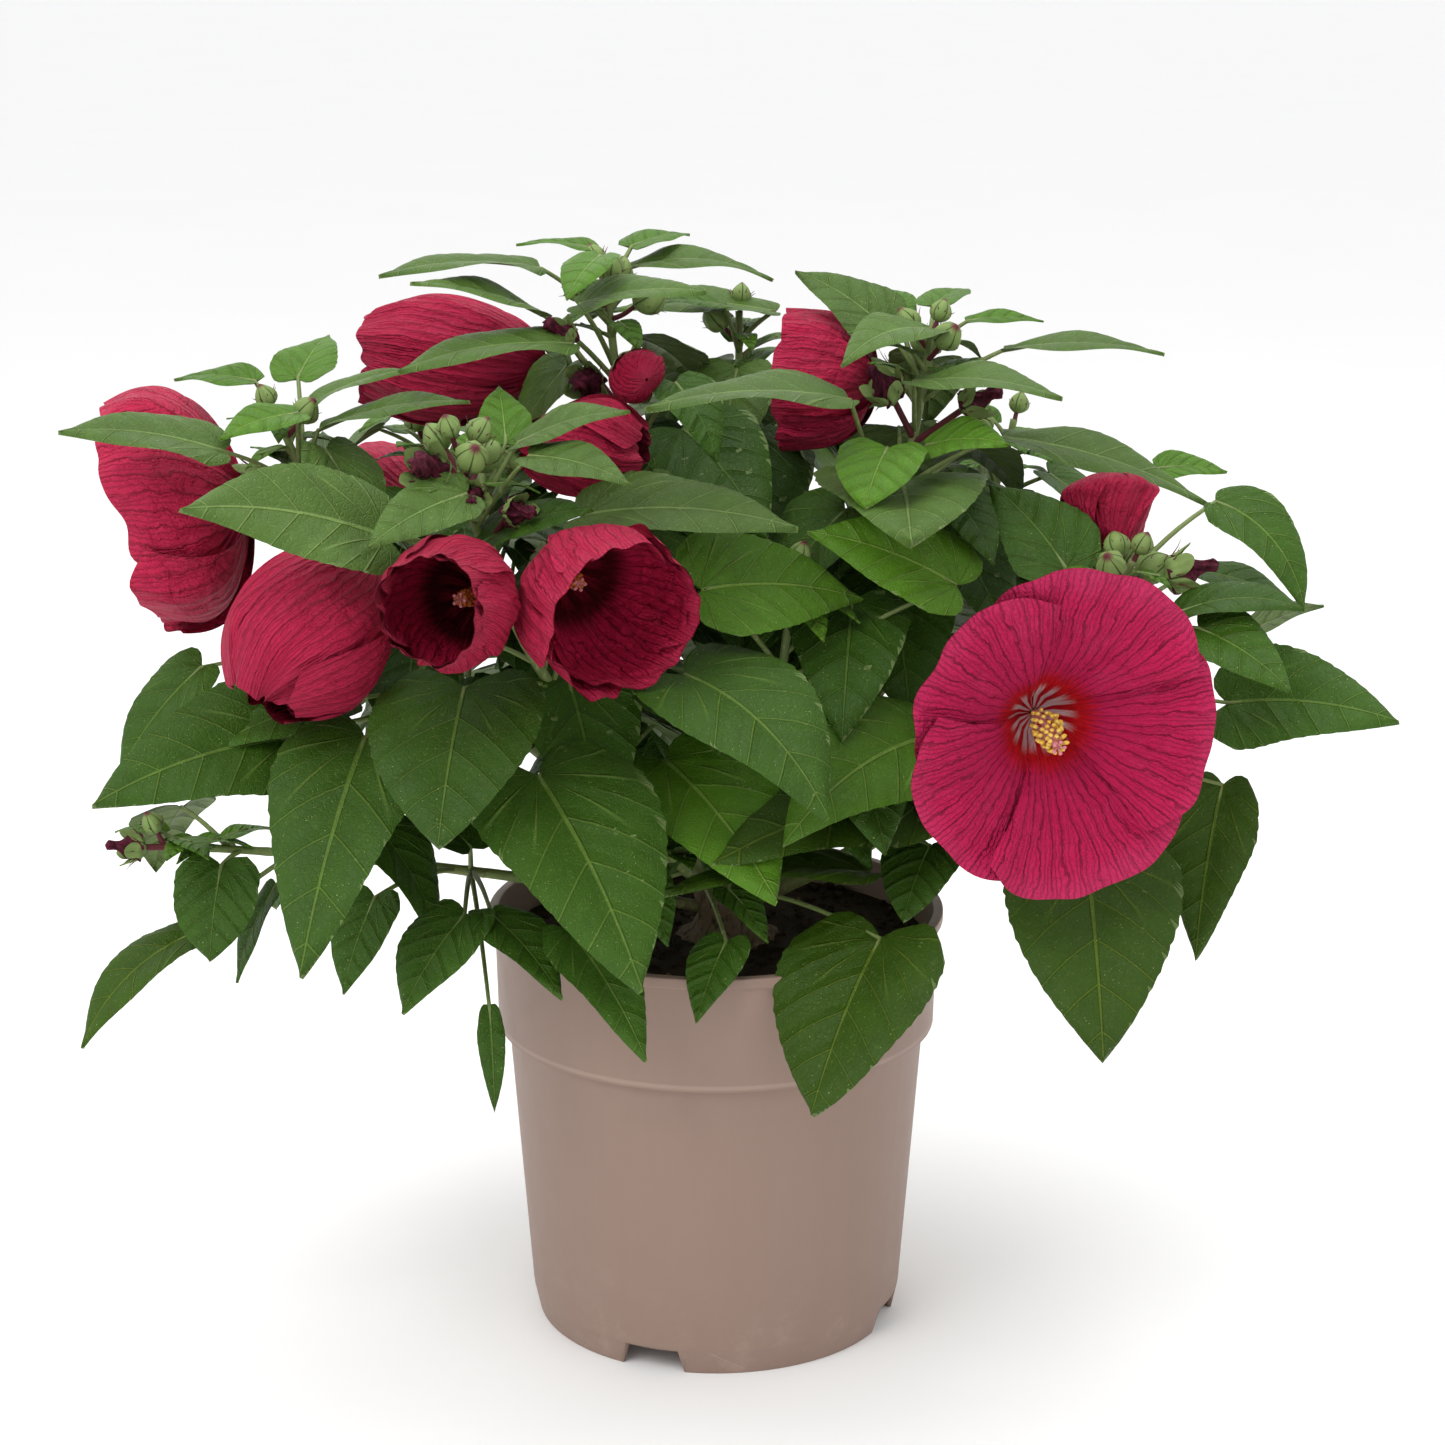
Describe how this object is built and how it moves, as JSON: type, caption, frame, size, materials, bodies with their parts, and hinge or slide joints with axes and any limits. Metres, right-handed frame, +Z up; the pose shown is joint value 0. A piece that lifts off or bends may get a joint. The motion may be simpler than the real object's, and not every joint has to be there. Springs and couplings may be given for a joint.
{
  "type": "potted flowering shrub",
  "caption": "Bushy hardy hibiscus with broad pointed leaves and large crimson flowers, rooted in a round taupe nursery pot.",
  "frame": {"origin": "middle of the pot's flat underside, on the floor", "axes": "+Z up, -Y towards the front as pictured, +X to the right seen from the front"},
  "size_m": [0.6274, 0.4461, 0.5479],
  "materials": {
    "pot": "matte moulded taupe plastic",
    "soil": "moist crumbly dark brown compost",
    "bark": "rough brown woody crown",
    "stem": "smooth green stem, browner towards its foot",
    "leaf": "satin green leaf",
    "petal": "soft crinkled crimson petal"
  },
  "bodies": {
    "root": {"pot": "pot", "soil": "soil", "crown": "bark", "stem_front_left": "stem", "stem_right": "stem", "stem_centre": "stem", "stem_low_left": "stem", "stem_front_low": "stem", "stem_left": "stem", "stem_right_back": "stem", "stem_back_high": "stem", "stem_back_tip": "stem", "stem_rear_right": "stem", "stem_rear_left": "stem", "stem_rear_middle": "stem", "foliage_front_left": "leaf", "foliage_right": "leaf", "foliage_centre": "leaf", "foliage_low_left": "leaf", "foliage_front_low": "leaf", "foliage_left": "leaf", "foliage_right_back": "leaf", "foliage_back_high": "leaf", "foliage_back_tip": "leaf", "foliage_rear_right": "leaf", "foliage_rear_left": "leaf", "foliage_rear_middle": "leaf", "bloom_open_front_right": "petal", "bloom_tube_front_left": "petal", "bloom_cup_front": "petal", "bloom_folded_left": "petal", "bloom_open_left": "petal", "bloom_open_back_left": "petal", "bloom_closing_middle": "petal", "bloom_open_back_right": "petal", "bloom_upright_right": "petal", "bloom_open_rear_right": "petal", "bloom_cup_rear_left": "petal"}
  },
  "joints": []
}
